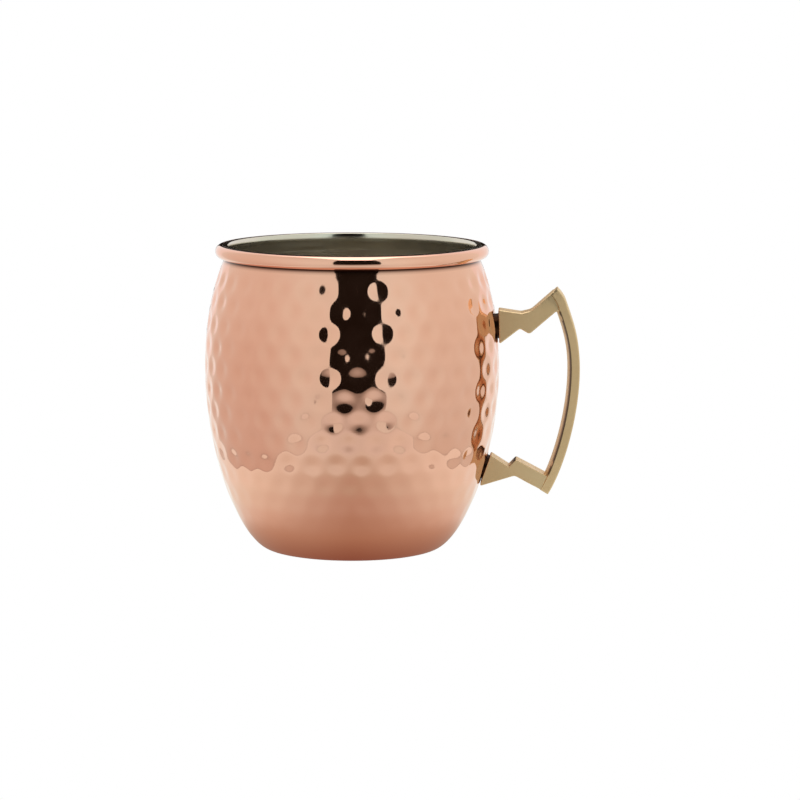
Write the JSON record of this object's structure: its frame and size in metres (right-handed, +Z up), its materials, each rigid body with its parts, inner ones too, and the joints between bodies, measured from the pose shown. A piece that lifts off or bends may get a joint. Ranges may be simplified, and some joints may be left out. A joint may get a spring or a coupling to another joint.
{
  "type": "mug",
  "caption": "Barrel-shaped double-walled mug: hammered copper shell and stainless steel liner meeting in one rolled rim, with a zig-zag cast brass side handle.",
  "frame": {"origin": "centre of the flat base's underside, on the mug's axis", "axes": "+Z up along the cup's axis, +X towards the handle, +Y completes a right-handed frame"},
  "size_m": [0.1226, 0.096, 0.1],
  "materials": {
    "hammered_copper": "polished copper sheet with round hammer marks",
    "stainless_steel": "satin drawn stainless steel",
    "cast_brass": "pale satin cast brass with eased edges",
    "fastener_steel": "plain turned steel"
  },
  "bodies": {
    "root": {"copper_body": "hammered_copper", "steel_liner": "stainless_steel", "handle": "cast_brass", "upper_handle_screw": "fastener_steel", "lower_handle_screw": "fastener_steel", "upper_screw_washer": "fastener_steel", "lower_screw_washer": "fastener_steel"}
  },
  "joints": []
}
